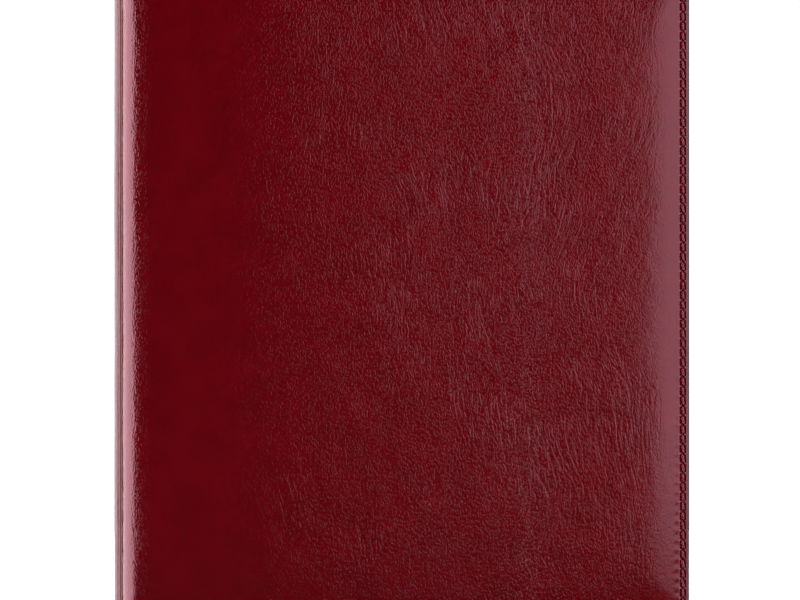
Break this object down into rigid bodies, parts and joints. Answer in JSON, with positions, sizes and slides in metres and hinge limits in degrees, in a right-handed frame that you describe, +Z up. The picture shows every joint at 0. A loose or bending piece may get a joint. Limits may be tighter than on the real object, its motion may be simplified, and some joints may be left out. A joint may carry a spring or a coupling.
{
  "type": "coin album",
  "caption": "Padded burgundy leather coin album with a stitched fore-edge, rounded hinge creases, a ring mechanism on its spine and clear pocket leaves with dark interleaves.",
  "frame": {"origin": "centre of the closed, standing album's footprint, on the surface it stands on", "axes": "+Z up along the covers' height, -X towards the spine, -Y out of the front cover"},
  "size_m": [0.24, 0.05, 0.275],
  "materials": {
    "burgundy_leather": "glossy padded leather with a fine wrinkle grain",
    "black_lining": "matt fine-grained lining leatherette",
    "foam": "white padding sheet",
    "greyboard": "raw binder's board",
    "burgundy_thread": "waxed sewing thread",
    "nickel_steel": "nickel-plated steel",
    "clear_film": "clear welded pocket film",
    "black_card": "matt black card"
  },
  "bodies": {
    "spine": {"spine_leather": "burgundy_leather", "spine_padding": "foam", "spine_board": "greyboard", "spine_lining": "black_lining", "ring_housing": "nickel_steel", "tail_rivet": "nickel_steel", "head_rivet": "nickel_steel", "front_hinge_strip": "black_lining", "back_hinge_strip": "black_lining"},
    "front_cover": {"front_leather": "burgundy_leather", "front_padding": "foam", "front_board": "greyboard", "front_lining": "black_lining", "front_stitching": "burgundy_thread", "front_inner_stitching": "burgundy_thread"},
    "back_cover": {"back_leather": "burgundy_leather", "back_padding": "foam", "back_board": "greyboard", "back_lining": "black_lining", "back_stitching": "burgundy_thread", "back_inner_stitching": "burgundy_thread"},
    "front_rings": {"front_ring_plate": "nickel_steel", "front_ring_half_1": "nickel_steel", "front_ring_half_2": "nickel_steel", "front_ring_half_3": "nickel_steel", "front_ring_half_4": "nickel_steel"},
    "back_rings": {"back_ring_plate": "nickel_steel", "back_ring_half_1": "nickel_steel", "back_ring_half_2": "nickel_steel", "back_ring_half_3": "nickel_steel", "back_ring_half_4": "nickel_steel"},
    "tail_lever": {"tail_lever": "nickel_steel"},
    "head_lever": {"head_lever": "nickel_steel"},
    "leaf_1": {"coin_page_1": "clear_film", "interleaf_1": "black_card"},
    "leaf_2": {"coin_page_2": "clear_film", "interleaf_2": "black_card"},
    "leaf_3": {"coin_page_3": "clear_film", "interleaf_3": "black_card"},
    "leaf_4": {"coin_page_4": "clear_film", "interleaf_4": "black_card"},
    "leaf_5": {"coin_page_5": "clear_film", "interleaf_5": "black_card"},
    "leaf_6": {"coin_page_6": "clear_film", "interleaf_6": "black_card"}
  },
  "joints": [
    {"name": "front_cover_hinge", "type": "hinge", "parent": "spine", "child": "front_cover", "pos_m": [-0.1174, -0.01475, 0.1375], "axis": [0, 0, -1], "range_deg": [0, 150], "deforming": ["front_hinge_strip"]},
    {"name": "back_cover_hinge", "type": "hinge", "parent": "spine", "child": "back_cover", "pos_m": [-0.1174, 0.01475, 0.1375], "axis": [0, 0, 1], "range_deg": [0, 150], "deforming": ["back_hinge_strip"]},
    {"name": "front_rings_open", "type": "hinge", "parent": "spine", "child": "front_rings", "pos_m": [-0.11125, -0.0082, 0.1375], "axis": [0, 0, -1], "range_deg": [0, 9.5]},
    {"name": "back_rings_open", "type": "hinge", "parent": "spine", "child": "back_rings", "pos_m": [-0.11125, 0.0082, 0.1375], "axis": [0, 0, 1], "range_deg": [0, 9.5]},
    {"name": "tail_lever_press", "type": "hinge", "parent": "spine", "child": "tail_lever", "pos_m": [-0.1125, 0, 0.0175], "axis": [0, 1, 0], "range_deg": [0, 20]},
    {"name": "head_lever_press", "type": "hinge", "parent": "spine", "child": "head_lever", "pos_m": [-0.1125, 0, 0.2575], "axis": [0, -1, 0], "range_deg": [0, 20]},
    {"name": "leaf_1_turn", "type": "hinge", "parent": "spine", "child": "leaf_1", "pos_m": [-0.0961, 0, 0.1375], "axis": [0, 0, -1], "range_deg": [0, 105]},
    {"name": "leaf_2_turn", "type": "hinge", "parent": "spine", "child": "leaf_2", "pos_m": [-0.0961, 0, 0.1375], "axis": [0, 0, -1], "range_deg": [0, 86]},
    {"name": "leaf_3_turn", "type": "hinge", "parent": "spine", "child": "leaf_3", "pos_m": [-0.0961, 0, 0.1375], "axis": [0, 0, -1], "range_deg": [0, 67]},
    {"name": "leaf_4_turn", "type": "hinge", "parent": "spine", "child": "leaf_4", "pos_m": [-0.0961, 0, 0.1375], "axis": [0, 0, -1], "range_deg": [0, 48]},
    {"name": "leaf_5_turn", "type": "hinge", "parent": "spine", "child": "leaf_5", "pos_m": [-0.0961, 0, 0.1375], "axis": [0, 0, -1], "range_deg": [0, 29]},
    {"name": "leaf_6_turn", "type": "hinge", "parent": "spine", "child": "leaf_6", "pos_m": [-0.0961, 0, 0.1375], "axis": [0, 0, -1], "range_deg": [0, 12]}
  ],
  "couplings": [
    {"joint": "back_rings_open", "follows": "front_rings_open", "ratio": 1},
    {"joint": "tail_lever_press", "follows": "front_rings_open", "ratio": 2.1},
    {"joint": "head_lever_press", "follows": "front_rings_open", "ratio": 2.1},
    {"joint": "leaf_1_turn", "follows": "front_cover_hinge", "ratio": 0.7},
    {"joint": "leaf_2_turn", "follows": "front_cover_hinge", "ratio": 0.57},
    {"joint": "leaf_3_turn", "follows": "front_cover_hinge", "ratio": 0.445},
    {"joint": "leaf_4_turn", "follows": "front_cover_hinge", "ratio": 0.32},
    {"joint": "leaf_5_turn", "follows": "front_cover_hinge", "ratio": 0.19},
    {"joint": "leaf_6_turn", "follows": "front_cover_hinge", "ratio": 0.08}
  ]
}
